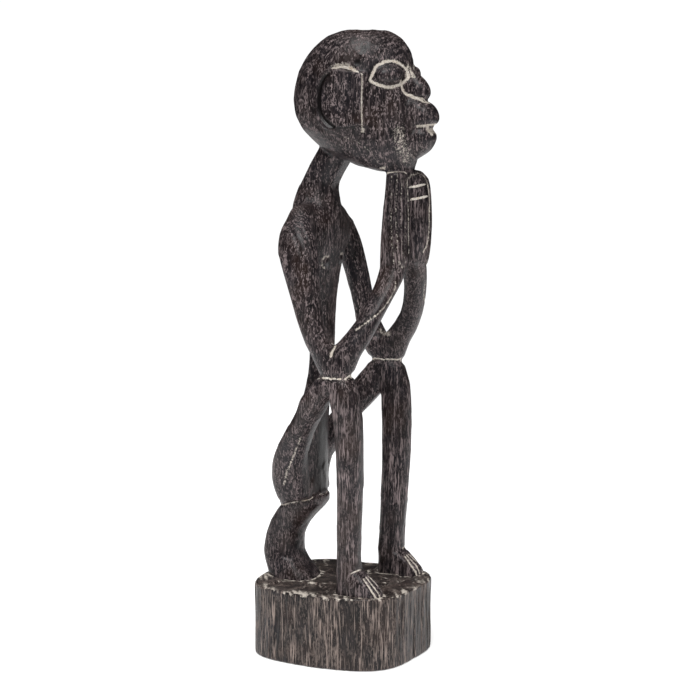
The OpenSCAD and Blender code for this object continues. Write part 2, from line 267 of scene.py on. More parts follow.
# %% [markdown]
# ## Knife lines
# The face, the fingers and the toes are drawn with narrow V cuts. A cut is given by a few points
# that its middle passes near, joined by a smooth curve that is then dropped onto the skin. Points
# close to the curve are pushed in along their normals. The same distance also tells how much pale
# paste stays behind, which is kept as a number on each point for the finish.
# The other tools swell or sink a spot, dust paste on without a cut, and darken a spot instead, for a dark
# knot or for painted shade.

# %% Tools for cutting
normals = normals_of(points)
depth = np.zeros(len(points))
# Above nought this number is pale paste; below nought it paints dark knots and painted shade.
paste_knots_and_shade = np.zeros(len(points))
step = 0.45
bare_skin = BVHTree.FromPolygons(points.tolist(), quads.tolist())


def curve_through(path, closed=False):
    path = np.array(path, float)
    ends = (path[-1], path[0], path[1]) if closed else (2 * path[0] - path[1], 2 * path[-1] - path[-2])
    guide = np.vstack([ends[0], path, ends[1:]])
    out = []
    for a, b, c, d in zip(guide, guide[1:], guide[2:], guide[3:]):
        count = max(2, int(np.linalg.norm(c - b) / step))
        for t in np.arange(count) / count:
            bend = 2 * b + (c - a) * t + (2 * a - 5 * b + 4 * c - d) * t**2
            out.append((bend + (3 * b - a - 3 * c + d) * t**3) / 2)
    return np.array(out if closed else out + [path[-1]])


def on_skin(line):
    return np.array([bare_skin.find_nearest(spot)[0] for spot in line.tolist()])


def near(line, reach):
    inside = ((points > line.min(0) - reach) & (points < line.max(0) + reach)).all(1)
    which = np.flatnonzero(inside)
    gap = np.full(len(which), 1e9)
    for spot in line:
        gap = np.minimum(gap, ((points[which] - spot) ** 2).sum(1))
    return which, np.sqrt(gap)


def cut(path, width=0.8, deep=0.4, pale=0.5, closed=False):
    which, gap = near(on_skin(curve_through(path, closed)), width * 4)
    depth[which] = np.maximum(depth[which], deep * np.exp(-((gap / width) ** 2)))
    paste_knots_and_shade[which] = np.maximum(paste_knots_and_shade[which], pale * np.exp(-((gap / width / 1.2) ** 2)))


def swell(spot, radius, height):
    which, gap = near(np.atleast_2d(spot), radius * 2.5)
    points[which] += (height * np.exp(-((gap / radius) ** 2)))[:, None] * normals[which]


def dust(path, radius, pale):
    which, gap = near(on_skin(curve_through(path)), radius * 2.5)
    paste_knots_and_shade[which] = np.maximum(paste_knots_and_shade[which], pale * np.exp(-((gap / radius) ** 2)))


# Darkening paints the temple knots, and painted shade behind the ears and on the trunk.
def darken(path, radius, amount):
    which, gap = near(on_skin(curve_through(path)), radius * 2.5)
    paste_knots_and_shade[which] -= amount * np.exp(-((gap / radius) ** 2))


def both(tool, path, *measures, **words):
    tool(path, *measures, **words)
    tool(mirrored(path), *measures, **words)


# %% [markdown]
# ## The face
# Each eye is a low dome inside an almond ring. The nose has a curved line under its wing, the
# lips are parted by a wedge of paste, and each ear is a D-shaped plate with a straight pale
# front edge and a plain cut around its back, darkened with painted shade.

# %% Lines of the face
eye_ring = spots("head", (-25.6, -19, 56.6), (-24.8, -20, 60.4), (-23.1, -21.5, 64.7), (-21.2, -24, 66.9),
                 (-17.8, -27.3, 68.4), (-14.3, -30.5, 68.2), (-9.8, -33.3, 66), (-6.4, -35.2, 62.8),
                 (-5.8, -36, 59.2), (-8.1, -35.3, 56.6), (-13.3, -33.5, 54.2), (-16.7, -30.9, 52.8),
                 (-19.3, -28.7, 52.2), (-22, -25.8, 53), (-24.2, -22.2, 54.6))
nose_wing = spots("head", (-12.4, -33.7, 56.2), (-12, -34.2, 53), (-10.8, -35.4, 50), (-8.6, -37.4, 47.8),
                  (-7.3, -40.6, 46.2), (-6, -44.4, 45), (-3, -47.4, 44.2), (0, -48, 44))
ear_front = spots("head", (-31, 4, 64), (-30.4, 0, 65.2), (-30, -5, 64.8), (-30, -11, 63.2), (-32, -16, 61.6),
                  (-32.2, -16.6, 56), (-32.6, -16.8, 46), (-32.8, -16.8, 36), (-31.6, -16.2, 27),
                  (-30.6, -15.6, 24.6))
ear_back = spots("head", (-34.4, 4.4, 62), (-34.6, 8.6, 58), (-34.6, 11.4, 52), (-34.6, 12.2, 44.5),
                 (-34.6, 11.6, 38.4), (-34.4, 8.8, 33), (-33.6, 4, 28.8), (-33, -1, 27), (-32.4, -8, 26.6),
                 (-32.4, -14, 27))
mouth = spots("head", (-9.6, -44, 28), (-8, -47.6, 28.4), (-5, -50.2, 28.6), (0, -51.4, 28.6))
print("outlines of", len(eye_ring), "points for an eye and", len(ear_front), "for an ear")

# %% [markdown]
# ## Cutting the face
# The outlines are cut first. The ear's face is then hollowed a little, and the short scratches on
# the chin, the cheeks and the jaw follow, with paste dusted on the bridge of the nose and the chin.

# %% Cut the face
both(cut, eye_ring, 1.0, 0.6, 0.9, closed=True)
both(cut, nose_wing, 1.0, 0.7, 0.9)
both(cut, ear_front, 1.1, 0.9, 0.85)
both(cut, ear_back, 1.4, 1.7, 0)
# Painted shade darkens the cut behind each ear.
both(darken, ear_back, 1.9, 0.75)
both(cut, mouth, 1.0, 0.8, 0.9)
both(cut, spots("head", (-4.6, -50.4, 26.4), (-2.4, -51, 26.2), (0, -51.2, 26.2)), 1.5, 1.3, 0.95)
both(dust, spots("head", (-6.2, -49, 28), (-4.4, -50.8, 25.6), (-3.6, -51.1, 23.5)), 1.5, 0.85)
both(swell, spots("head", (-35, -3, 46)), 9, -1.9)
both(swell, spots("head", (-35, -6, 38)), 5, 0.5)
both(cut, spots("head", (-9.8, -45.6, 21.1), (-8.9, -45.9, 16.8), (-4.4, -46.1, 12.3)), 0.8, 0.35, 0.3)
both(cut, spots("head", (-8, -47.4, 42.1), (-10.6, -46.4, 37.2), (-10.8, -44, 33.5)), 0.8, 0.35, 0.25)
both(cut, spots("head", (-29.2, -2.6, 21.7), (-28, -10.9, 18.7), (-25, -17.8, 13.1), (-19.6, -21.5, 5.6)),
     0.6, 0.25, 0.4)
both(dust, spots("head", (-2.5, -35.6, 64.3), (-3.9, -37.6, 61.2), (-5.2, -39, 58.7)), 1.7, 0.62)
both(dust, spots("head", (-4, -35, 66), (-6.4, -35, 62), (-7, -34.4, 58)), 1.7, 0.62)
both(dust, spots("head", (-31, 5, 65.6), (-30.4, -2, 66.6), (-29.6, -9, 65.4)), 1.8, 0.5)
both(dust, spots("head", (-16, -33, 24), (-14, -35, 16), (-9, -37, 9)), 6.5, 0.44)
print("deepest cut on the face", depth.max().round(2), "mm")

# %% [markdown]
# ## Knees and seat
# A groove runs around each knee, where the elbow stands on it, and around the tilted joint between
# the body and its post. Both are ellipses worked out from the boxes of their lines of paste.

# %% Lines around the knees and the seat
ring_points = 18


def around(node, tilt=0.0):
    low, high = (np.array(corner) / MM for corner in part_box(node))
    middle, half = (low + high) / 2, (high - low) / 2
    turn = np.linspace(0, 2 * math.pi, ring_points, endpoint=False)
    return np.array([middle + (half[0] * math.cos(a), half[1] * math.sin(a), -tilt * half[1] * math.sin(a))
                     for a in turn])


seat_slope, knee_lift, knee_swing = 0.306, 1.4, 1.1
knee_turn = np.linspace(0, 2 * math.pi, ring_points, endpoint=False)
knee_ring = around("knee_line_right")
knee_ring[:, 2] += knee_lift + knee_swing * np.cos(knee_turn)
seat_ring = around("seat_line", seat_slope)
both(cut, knee_ring, 2.2, 1.3, 0.3, closed=True)
cut(seat_ring, 1.2, 0.9, 0.4, closed=True)
print("knee groove at", knee_ring[:, 2].mean().round(1), "mm")

# %% [markdown]
# ## Hands
# The fingers are long shallow cuts that run down the palms to the wrists. The left hand shows
# past the right one, with a line around its edge and its tip.

# %% Lines of the hands
for start, middle, end in (
        ((-8.9, -1.6, 56.7), (-9.2, -0.9, 30), (-8.8, -3.1, 1)),
        ((-8.8, -5, 58), (-9, -4.4, 32), (-8.1, -6.2, -3)),
        ((-6.8, -7.8, 55), (-7.6, -7.2, 36), (-6, -7.8, 8)),
        ((-3.1, -8.6, 54), (-2.6, -8.6, 34), (-4, -8.5, 5.4))):
    both(cut, spots("hand_right", start, middle, end), 0.8, 0.5, 0.37)
palm_edge = spots("hand_left", (-19.6, -3.1, 52), (-17.6, -3.1, 36), (-17, -3.1, 20), (-17.4, -3.2, 7))
finger_tip = spots("hand_left", (-19.4, -3.1, 50), (-18, -3.1, 55.1), (-7.6, -3, 57.6), (0.6, -5.6, 56.4),
                   (3.1, -7.9, 50.6))
far_edge = spots("hand_left", (2, -8.2, 50), (1.6, -9, 40.6), (1.6, -9.1, 31.1), (1.4, -9.1, 21.5),
                 (-0.8, -8.9, 13.4), (-5.1, -8.1, 8))
cut(palm_edge, 0.9, 0.6, 0.5)
cut(finger_tip, 0.95, 0.5, 0.55)
cut(far_edge, 0.9, 0.6, 0.75)
both(cut, spots("hand_right", (-8.1, -6.2, 3.1), (-5.1, -7.7, -0.8), (-2.4, -8.5, 2.8)), 0.8, 0.5, 0.5)
print("paste on", int((paste_knots_and_shade > 0.3).sum()), "points so far")

# %% [markdown]
# ## Arms and thighs
# Ridges left between two knife planes run down the arms and thighs, and paste has stayed along
# some of them, in the crook of each elbow and under the chin. The trunk behind each thigh has a
# soft dark patch of painted shade.

# %% Lines of the arms and thighs
forearm_ridge = spots("forearm_right", (-14.4, 3.3, 29.7), (-12.9, -0.8, 32.9), (-11, -4.7, 36),
                      (-8.2, -8.2, 39), (-4.6, -10.7, 42.5), (-0.3, -12.8, 47.2), (3.9, -15, 53.8),
                      (4.8, -15.3, 58.7))
back_ridge = spots("upper_arm_right", (-6, 12, 95), (-14.4, 3.1, 85.1), (-16.3, -2.6, 71.7),
                   (-15.1, -8.2, 48.1), (-12.4, -13.8, 26.2))
front_ridge = spots("upper_arm_right", (-7, 4, 94), (-12.3, -4.2, 82.1), (-13.5, -8.2, 63.6),
                    (-11.6, -10.6, 41.6))
elbow_split = spots("upper_arm_right", (-8.6, -20.2, 20), (-9.5, -20.7, 18), (-11, -20, 15.6),
                    (-12.2, -19.9, 13.3))
painted_trunk_shade = spots("pelvis", (-3, -14, 52), (-4.9, -13.4, 40.5), (-5.7, -13.1, 30.6), (-7, -12.9, 20),
                    (-4, -13, 12))
both(cut, forearm_ridge, 0.8, 0.35, 0.6)
both(cut, back_ridge, 1.0, 0.4, 0.1)
both(cut, front_ridge, 1.0, 0.3, 0.08)
both(cut, elbow_split, 0.9, 0.9, 0.9)
both(dust, spots("forearm_left", (13.2, 22.1, 20.4), (9.6, 17.6, 19.1), (6.4, 14, 18.9)), 2.2, 0.6)
# Painted shade: a soft dark patch on the trunk behind each thigh.
both(darken, painted_trunk_shade, 9, 0.36)
both(dust, spots("hand_right", (-9.4, 6, 59.4), (-8, 0, 60.4), (-4, -5, 60), (-1, -8, 59)), 1.4, 0.7)
both(cut, spots("thigh_right", (-9, -3, 49), (-4.7, 3.9, 36.8), (-2.1, 9.6, 26.1), (-0.4, 13.4, 16.3)),
     0.85, 0.3, 0.56)
print("darkest stain", paste_knots_and_shade.min().round(2))

# %% [markdown]
# ## Feet, chest and temple
# A line crosses the front of each ankle, and four cuts part the toes. Each nipple is a low dome in
# part of a ring, two dark knots sit at the temple, and the shoulders are filled out a little.

# %% Marks on the feet, the chest and the temple
ankle_cut = spots("foot_right", (-7.4, 2.4, 14.4), (-4.9, 0.7, 15.6), (0.8, -0.1, 15.4))
both(cut, ankle_cut, 0.8, 0.4, 0.5)
for start, end in ((-5.8, -7.2), (-2, -2.4), (1.9, 2.4), (5.6, 7)):
    both(cut, spots("foot_right", (start * 0.8, -5.4, 11.6), (start, -9.4, 8), (end, -13.6, 4),
                    (end, -16.6, 0)), 0.8, 1.0, 0.8)
nipple = spots("torso", (-11.4, -11.5, 90.7))
both(swell, nipple, 2.6, 1.1)
ring = [nipple[0] + (4.1 * math.cos(a), 0, 4.1 * math.sin(a)) for a in np.radians((60, 110, 160, 215, 260))]
both(cut, ring, 1.0, 0.4, 0.62)
for place in spots("head", (-27.6, -10.7, 67.2), (-24.4, -14, 75.6)):
    both(swell, place, 2.3, -0.4)
    both(darken, (place, place + (0.4, 0, 0.4)), 2.1, 1.0)
both(swell, spots("torso", (-30, -1.4, 126)), 7, 1.6)
points -= depth[:, None] * normals
points = relaxed(points, 1, 0.25)
print("deepest cut", depth.max().round(2), "mm; paste on", int((paste_knots_and_shade > 0.3).sum()), "points")

# %% [markdown]
# ## Hollows and high places
# Paste stays in hollows, painted shade darkens them, and hands polish the high places. The
# difference between the skin and a much smoother copy of it says which is which, and goes along as another
# number.
# A third number says how far the grain shows as long straight lines, as on the shins and hands.

# %% Measure hollows
smoothing_rounds, grain_rounds = 24, 12
normals = normals_of(points)
smooth_copy = relaxed(points, smoothing_rounds, 0.6)
hollow = ((smooth_copy - points) * normals).sum(1)
hollow = neighbour_mean(hollow)
straight = {"shin": 1.0, "hand": 0.85, "foot": 0.8, "forearm": 0.5, "seat": 0.5, "thigh": 0.3}
grain = np.array([max([share for word, share in straight.items() if word in name], default=0.12)
                  for name in wood_nodes])[point_member]
for turn in range(grain_rounds):
    grain = neighbour_mean(grain)
print("hollow from", hollow.min().round(2), "to", hollow.max().round(2), "mm")

# %% [markdown]
# ## Making finishes
# A finish is a small network of shader nodes. Written out node by node it is hard to read, so one
# class wraps a socket and turns plus, minus, times and power into Math nodes, and one method makes
# every other kind of node.

# %% Tools for finishes
class Wire:
    """One socket of a finish, on which plain arithmetic works."""

    def __init__(self, finish, socket):
        self.finish, self.socket = finish, socket

    def maths(self, operation, *others):
        values = {0: self, **{k + 1: other for k, other in enumerate(others)}}
        return self.finish.node("ShaderNodeMath", {"operation": operation}, values)

    def __add__(self, other):
        return self.maths("ADD", other)

    def __mul__(self, other):
        return self.maths("MULTIPLY", other)

    def __sub__(self, other):
        return self.maths("SUBTRACT", other)

    def __rsub__(self, other):
        return self * -1 + other

    def __pow__(self, other):
        return self.maths("POWER", other)

    __radd__, __rmul__ = __add__, __mul__

    def between(self, start, end):
        return self.finish.node(
            "ShaderNodeMapRange", {"interpolation_type": "SMOOTHSTEP"},
            {"Value": self, "From Min": start, "From Max": end})

    def larger(self, other):
        return self.maths("MAXIMUM", other)


class Finish:
    """One material, or the light around it, built node by node."""

    def __init__(self, owner):
        owner.use_nodes = True
        self.owner, self.tree = owner, owner.node_tree
        self.tree.nodes.clear()

    def node(self, kind, settings=None, sockets=None, out=0):
        made = self.tree.nodes.new(kind)
        for key, value in (settings or {}).items():
            setattr(made, key, value)
        for key, value in (sockets or {}).items():
            if isinstance(value, Wire):
                self.tree.links.new(value.socket, made.inputs[key])
            else:
                made.inputs[key].default_value = value
        return Wire(self, made.outputs[out]) if made.outputs else made

    def stretched(self, shares, turn=(0, 0, 0)):
        place = self.node("ShaderNodeTexCoord", out="Object")
        return self.node("ShaderNodeMapping", {}, {"Vector": place, "Scale": shares, "Rotation": turn})

    def cloud(self, vector, size, detail=2.0, rough=0.5, bend=0.0):
        values = {"Vector": vector, "Scale": 1 / (size * MM), "Detail": detail}
        values.update({"Roughness": rough, "Distortion": bend})
        return self.node("ShaderNodeTexNoise", {}, values)

    def blend(self, share, first, second):
        return self.node("ShaderNodeMix", {"data_type": "RGBA"}, {0: share, 6: first, 7: second}, out=2)

    def written(self, name):
        return self.node("ShaderNodeAttribute", {"attribute_name": name}, out="Fac")

    def close(self, colour, rough, height, deep, **constants):
        bump = self.node("ShaderNodeBump", {}, {"Height": height, "Distance": deep * MM, "Strength": 1.0})
        values = {"Base Color": colour, "Roughness": rough, "Normal": bump}
        values.update({key.replace("_", " "): value for key, value in constants.items()})
        shader = self.node("ShaderNodeBsdfPrincipled", {}, values)
        self.node("ShaderNodeOutputMaterial", {}, {"Surface": shader})
        return self.owner


# %% [markdown]
# ## Dark wood
# The wood is stained nearly black, with a brown and purple cast, and its open pores hold pale
# paste. A pore is a short thin tube that runs up the log. Two textures in space give this on every
# face: specks drawn out a little along the height, and tubes drawn out far, which take over where
# the grain shows. Where a cut crosses the grain both turn into dots. Patches rubbed harder show
# less paste, and cuts keep more.

# %% The two woods
ring_width = 2.3
red_brown, blue_black = (0.026, 0.015, 0.012, 1), (0.018, 0.0165, 0.021, 1)
polish, knot_and_shade_black, lime_white = (0.06, 0.053, 0.06, 1), (0.004, 0.003, 0.003, 1), (0.6, 0.54, 0.47, 1)


def wood(name, dark, light, pore, streak_width, squeeze):
    finish = Finish(bpy.data.materials.new(name))
    even = finish.stretched((1, 1, 1))
    short = finish.stretched((1, 1, 0.42))
    far = finish.stretched((1, 1, squeeze))
    paste_knots_and_shade_here, hollow_here, grain_here = (finish.written(key) for key in ("paste_knots_and_shade", "hollow", "grain"))
    place = finish.node("ShaderNodeTexCoord", out="Object")
    east, north = (finish.node("ShaderNodeSeparateXYZ", {}, {"Vector": place}, out=axis) for axis in "XY")
    radius = (east * east + north * north) ** 0.5
    wobble = finish.cloud(finish.stretched((1, 1, 0.5)), 16, 2.0, 0.5)
    ring = (radius * (math.tau / (ring_width * MM)) + wobble * 30).maths("SINE")
    tone = finish.cloud(even, 26, 3.0, 0.55)
    rubbed = finish.cloud(even, 7, 3.0, 0.6).between(0.36, 0.64)
    band = finish.cloud(far, 5, 2.0, 0.5).between(0.4, 0.6)
    fibre = finish.cloud(far, 1.2, 3.0, 0.7)
    speck = finish.cloud(short, 0.92, 1.5, 0.55, 0.7)
    tube = finish.cloud(far, streak_width, 2.0, 0.6)
    specks = (speck + 0.06 * ring + 0.06 * rubbed).between(0.57, 0.67) * (1 - 0.65 * grain_here)
    tubes = (tube + 0.07 * band).between(0.56, 0.68) * (0.2 + 0.8 * grain_here)
    # Below nought the number paints dark knots and painted shade, blended toward near-black.
    knots_and_painted_shade = (paste_knots_and_shade_here * -1).between(0.1, 0.7)
    pores = specks.larger(tubes) * (0.4 + 0.25 * rubbed + 0.35 * band) * (1 - 0.8 * knots_and_painted_shade)
    # Painted shade: hollows are blended toward the dark wood.
    painted_hollow_shade = hollow_here.between(0.2, 0.7)
    worn = (hollow_here * -1).between(0.1, 0.8)
    kept = (paste_knots_and_shade_here + 1.3 * (finish.cloud(even, 1.3, 3.0, 0.6) - 0.5)).between(0.3, 0.72)
    kept = kept * paste_knots_and_shade_here.between(0.02, 0.3)
    body = finish.blend(fibre.between(0.38, 0.64), dark, light)
    body = finish.blend(tone.between(0.48, 0.72) * 0.7, body, red_brown)
    body = finish.blend(tone.between(0.5, 0.3) * 0.5, body, blue_black)
    body = finish.blend(worn * 0.2, body, polish)
    body = finish.blend(pores, body, pore)
    body = finish.blend(painted_hollow_shade * 0.75, body, dark)
    body = finish.blend(knots_and_painted_shade * 0.9, body, knot_and_shade_black)
    body = finish.blend(kept * 0.92, body, lime_white)
    rough = 0.33 + 0.3 * pores - 0.06 * worn + 0.3 * kept
    height = fibre * 0.4 - pores * 0.5 + kept * 0.2
    return finish.close(body, rough, height, 0.3, Specular_IOR_Level=0.26)


carved_wood = wood("carved_wood", dark=(0.004, 0.003, 0.0035, 1), light=(0.02, 0.015, 0.017, 1),
                   pore=(0.25, 0.197, 0.196, 1), streak_width=0.85, squeeze=0.08)
plinth_wood = wood("plinth_wood", dark=(0.003, 0.0022, 0.0022, 1), light=(0.018, 0.013, 0.013, 1),
                   pore=(0.28, 0.222, 0.195, 1), streak_width=0.66, squeeze=0.05)
print("two woods mixed")

# %% [markdown]
# ## Lime paste
# The paste is chalky and off-white, tan where wood dust or stain got into it, and it lies
# uneven with small gaps.

# %% The paste
def paste():
    finish = Finish(bpy.data.materials.new("lime_paste"))
    even = finish.stretched((1, 1, 1))
    crumb = finish.cloud(even, 0.8, 4.0, 0.65)
    stain = finish.cloud(even, 6.0, 3.0, 0.6)
    colour = finish.blend(crumb.between(0.35, 0.65), (0.42, 0.36, 0.3, 1), (0.74, 0.7, 0.64, 1))
    colour = finish.blend(stain.between(0.5, 0.7) * 0.55, colour, (0.4, 0.28, 0.18, 1))
    return finish.close(colour, 0.85 + 0.1 * crumb, crumb, 0.25, Specular_IOR_Level=0.3)


lime_paste = paste()

# %% [markdown]
# ## The members
# The skin is cut up along the members again, so that each can be named and handled. Each piece is
# closed where it meets its neighbours, inside the wood. It keeps the normals of the whole skin,
# so that the cuts between the pieces don't show.

# %% Cut the skin into members
def settle(thing, material, slot_name, *nodes):
    thing.data.materials.append(material)
    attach(thing, "root")
    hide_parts(*nodes)


def carved_piece(name, places, faces, facing_ways, numbers, material, slot_name):
    used, local = np.unique(faces, return_inverse=True)
    mesh = new_mesh(name, places[used] * MM, local.reshape(faces.shape))
    for key, values in numbers.items():
        layer = mesh.attributes.new(key, "FLOAT", "POINT")
        layer.data.foreach_set("value", values[used].astype(np.float32))
    work = bmesh.new()
    work.from_mesh(mesh)
    rim = [edge for edge in work.edges if edge.is_boundary]
    made = bmesh.ops.holes_fill(work, edges=rim, sides=0)["faces"]
    bmesh.ops.poke(work, faces=made)
    work.to_mesh(mesh)
    open_edges = sum(edge.is_boundary for edge in work.edges)
    work.free()
    mesh.polygons.foreach_set("use_smooth", np.ones(len(mesh.polygons), bool))
    ways = np.tile((0.0, 0.0, 0.0), (len(mesh.vertices), 1))
    ways[:len(used)] = facing_ways[used]
    mesh.normals_split_custom_set_from_vertices(ways.tolist())
    thing = bpy.data.objects.new(name, mesh)
    bpy.context.collection.objects.link(thing)
    settle(thing, material, slot_name, name.removeprefix("carved_"))
    return open_edges


numbers = {"paste_knots_and_shade": paste_knots_and_shade, "hollow": hollow, "grain": grain}
for number, name in enumerate(wood_nodes):
    part = quads[member == number]
    left_open = carved_piece("carved_" + name, points, part, normals, numbers, carved_wood, "carved_wood")
    print(name, len(part), "faces,", left_open, "open edges")

# %% [markdown]
# ## Beads of paste
# Each pale line is a low bead that lies in its cut. A ring of points is laid across
# the line at every step, with its sides under the wood and its crown just proud of it. The width
# wanders, because it was pushed in with a fingertip and wiped.

# %% Lay the paste
skin = BVHTree.FromPolygons(points.tolist(), quads.tolist())
across = np.array((-1.0, -0.55, 0.0, 0.55, 1.0))
crown = np.array((-0.35, 0.06, 0.16, 0.06, -0.35))
bead_root = 0.8


def bead(path, width, closed, worn):
    line = curve_through(path, closed)
    spots_on, ways = [], []
    for spot in line:
        place, way, _, _ = skin.find_nearest(spot.tolist())
        spots_on.append(place)
        ways.append(way)
    middle, up = np.array(spots_on), np.array(ways)
    for turn in range(3):
        inner = (np.roll(middle, 1, 0) + middle * 2 + np.roll(middle, -1, 0)) / 4
        tilt = (np.roll(up, 1, 0) + up * 2 + np.roll(up, -1, 0)) / 4
        if not closed:
            inner[[0, -1]], tilt[[0, -1]] = middle[[0, -1]], up[[0, -1]]
        middle, up = inner, tilt / np.linalg.norm(tilt, axis=1)[:, None]
    along = np.roll(middle, -1, 0) - np.roll(middle, 1, 0)
    if not closed:
        along[0], along[-1] = middle[1] - middle[0], middle[-1] - middle[-2]
    side = np.cross(along, up)
    side /= np.maximum(np.linalg.norm(side, axis=1), 1e-9)[:, None]
    share = np.linspace(0, 1, len(line))
    rings = []
    for k, spot in enumerate(middle):
        wander = noise.noise(Vector(spot) * 0.8) * 0.45 + noise.noise(Vector(spot) * 2.1) * 0.35
        taper = 1.0 if closed else min(1.0, 0.25 + 4 * min(share[k], 1 - share[k]))
        half = np.interp(share[k], np.linspace(0, 1, len(width)), width) / 2 * taper * (1 + wander)
        sunk = worn * max(0.0, noise.noise(Vector(spot) * 0.37) * 1.6 + 0.1)
        ring = []
        for offset, rise in zip(across, crown):
            place, way, _, _ = skin.find_nearest((spot + side[k] * half * offset).tolist())
            ring.append(np.array(place) + up[k] * (rise - sunk))
        ring.append(spot - up[k] * bead_root)
        rings.append(ring)
    size, count = len(across) + 1, len(rings)
    faces = []
    for k in range(count if closed else count - 1):
        here, there = k * size, (k + 1) % count * size
        faces += [(here + a, here + (a + 1) % size, there + (a + 1) % size, there + a) for a in range(size)]
    if not closed:
        faces.append(tuple(reversed(range(size))))
        faces.append(tuple((count - 1) * size + a for a in range(size)))
    return [spot for ring in rings for spot in ring], faces


def lay_paste(name, path, width, closed=False, worn=0.0):
    places, faces = bead(path, width, closed, worn)
    mesh = bpy.data.meshes.new(name)
    mesh.from_pydata((np.array(places) * MM).tolist(), [], faces)
    work = bmesh.new()
    work.from_mesh(mesh)
    bmesh.ops.recalc_face_normals(work, faces=work.faces)
    work.to_mesh(mesh)
    work.free()
    mesh.polygons.foreach_set("use_smooth", np.ones(len(mesh.polygons), bool))
    thing = bpy.data.objects.new(name, mesh)
    bpy.context.collection.objects.link(thing)
    settle(thing, lime_paste, "lime_paste", name.removeprefix("laid_"))
    print(name, len(mesh.polygons), "faces")


for side, flip in (("right", np.array), ("left", mirrored)):
    lay_paste("laid_eye_line_" + side, flip(eye_ring), (1.5, 1.7, 1.9, 2.4, 3.0, 2.2, 1.9, 1.6, 1.5),
              True, 0.2)
    lay_paste("laid_ear_line_" + side, flip(ear_front), (0.8, 1.8, 1.8, 1.6, 2.4, 2.8, 2.6, 2.4, 1.6))
    lay_paste("laid_nose_line_" + side, flip(nose_wing), (2.2, 2.4, 1.9, 1.7, 1.2), False, 0.1)
    lay_paste("laid_knee_line_" + side, flip(knee_ring), (1.6, 2.2, 1.8), True, 0.3)
    lay_paste("laid_ankle_line_" + side, flip(ankle_cut), (0.9, 1.2, 0.8))
lay_paste("laid_mouth_line", np.vstack([mouth, mirrored(mouth)[-2::-1]]), (1.0, 2.6, 4.2, 2.6, 1.0))
lay_paste("laid_seat_line", seat_ring, (0.7, 1.0, 1.3, 0.6, 0.7), True, 0.35)
lay_paste("laid_palm_line", palm_edge, (0.8, 1.1, 0.8), False, 0.4)
upper_finger = spots("hand_left", (-17.9, -3.1, 49.2), (-9, -5.4, 49.8), (-0.6, -7.8, 50.8))
lower_finger = spots("hand_left", (-16, -3, 41), (-9.3, -6.3, 42.3), (-0.9, -8.9, 43.2))
lay_paste("laid_finger_line_upper", upper_finger, (1.9, 2.4, 1.7))
lay_paste("laid_finger_line_lower", lower_finger, (1.9, 2.4, 2.2))

# %% [markdown]
# ## The plinth
# The foot of the log keeps its rough side, split along the grain, with its
# bark taken off. Its top was dressed level with a chisel, which left shallow planes and a worn
# pale rim. It has its own skin, with ridges and splits that run straight up the side.

# %% Shape the plinth
plinth_voxel, split_depth, chisel_depth = 0.85, 2.6, 0.9
rim_search, rim_reach = 12, 4.5
plinth_points, plinth_triangles, _ = solid_triangles(["plinth"])
points, quads = poured(plinth_points, plinth_triangles, plinth_voxel)
edges = np.concatenate([quads[:, [a, (a + 1) % 4]] for a in range(4)])
edges = np.unique(np.sort(edges, axis=1), axis=0)
degree = np.maximum(np.bincount(edges.ravel(), minlength=len(points)), 1)
points = relaxed(points, 6, 0.5)
normals = normals_of(points)
upright = 1 - np.abs(normals[:, 2])


def split_height(spot):
    x, y, z = spot
    ridge = noise.noise(Vector((x * 0.42, y * 0.42, z * 0.02)))
    fine_ridge = noise.noise(Vector((x * 0.95, y * 0.95, z * 0.05 + 7)))
    split = max(0.0, noise.noise(Vector((x * 0.3 + 9, y * 0.3, z * 0.015))) - 0.25)
    return 0.45 * ridge + 0.5 * fine_ridge - split_depth * split - 0.2


chisel_marks = 34
places = rng.uniform(-52, 52, (chisel_marks, 2)) + foot_of("plinth")[:2]
tilts = rng.normal(0, 0.08, (chisel_marks, 2))
stroke = np.array(((1, 0.35), (-0.6, 1.1)))
gaps = np.linalg.norm((points[:, None, :2] - places[None]) @ stroke, axis=2)
nearest = gaps.argmin(1)
two = np.partition(gaps, 1, axis=1)
ridge = np.exp(-(((two[:, 1] - two[:, 0]) / 1.6) ** 2))
top_cut = (tilts[nearest] * (points[:, :2] - places[nearest])).sum(1)
top_cut = np.clip(top_cut, -chisel_depth, 0.5) - 0.5
side_cut = np.array([split_height(spot) for spot in points.tolist()])
on_top = np.clip(normals[:, 2], 0, 1)
rim_points = points[(np.abs(normals[:, 2] - 0.5) < 0.12) & (points[:, 2] > plinth_top - 4)]
inset = np.full(len(points), 1e9)
for which in np.array_split(np.flatnonzero(points[:, 2] > plinth_top - rim_search), 60):
    inset[which] = np.linalg.norm(points[which, None] - rim_points[None], axis=2).min(1)
firm = 1 - 0.85 * np.exp(-((inset / rim_reach) ** 2))
push = firm * (upright**0.7 * side_cut + on_top**2 * top_cut)
push[normals[:, 2] < -0.3] = 0
points += push[:, None] * normals
points = relaxed(points, 2, 0.3)
points[:, 2] = np.maximum(points[:, 2], 0)
normals = normals_of(points)
print(chisel_marks, "chisel marks and", len(rim_points), "points on the rim")

# %% [markdown]
# ## Paste on the plinth
# Paste has stayed on the rim, along the ridges between chisel strokes, in a few scratches near the
# edge, and around whatever stands on the plinth. Noise breaks all of it up.

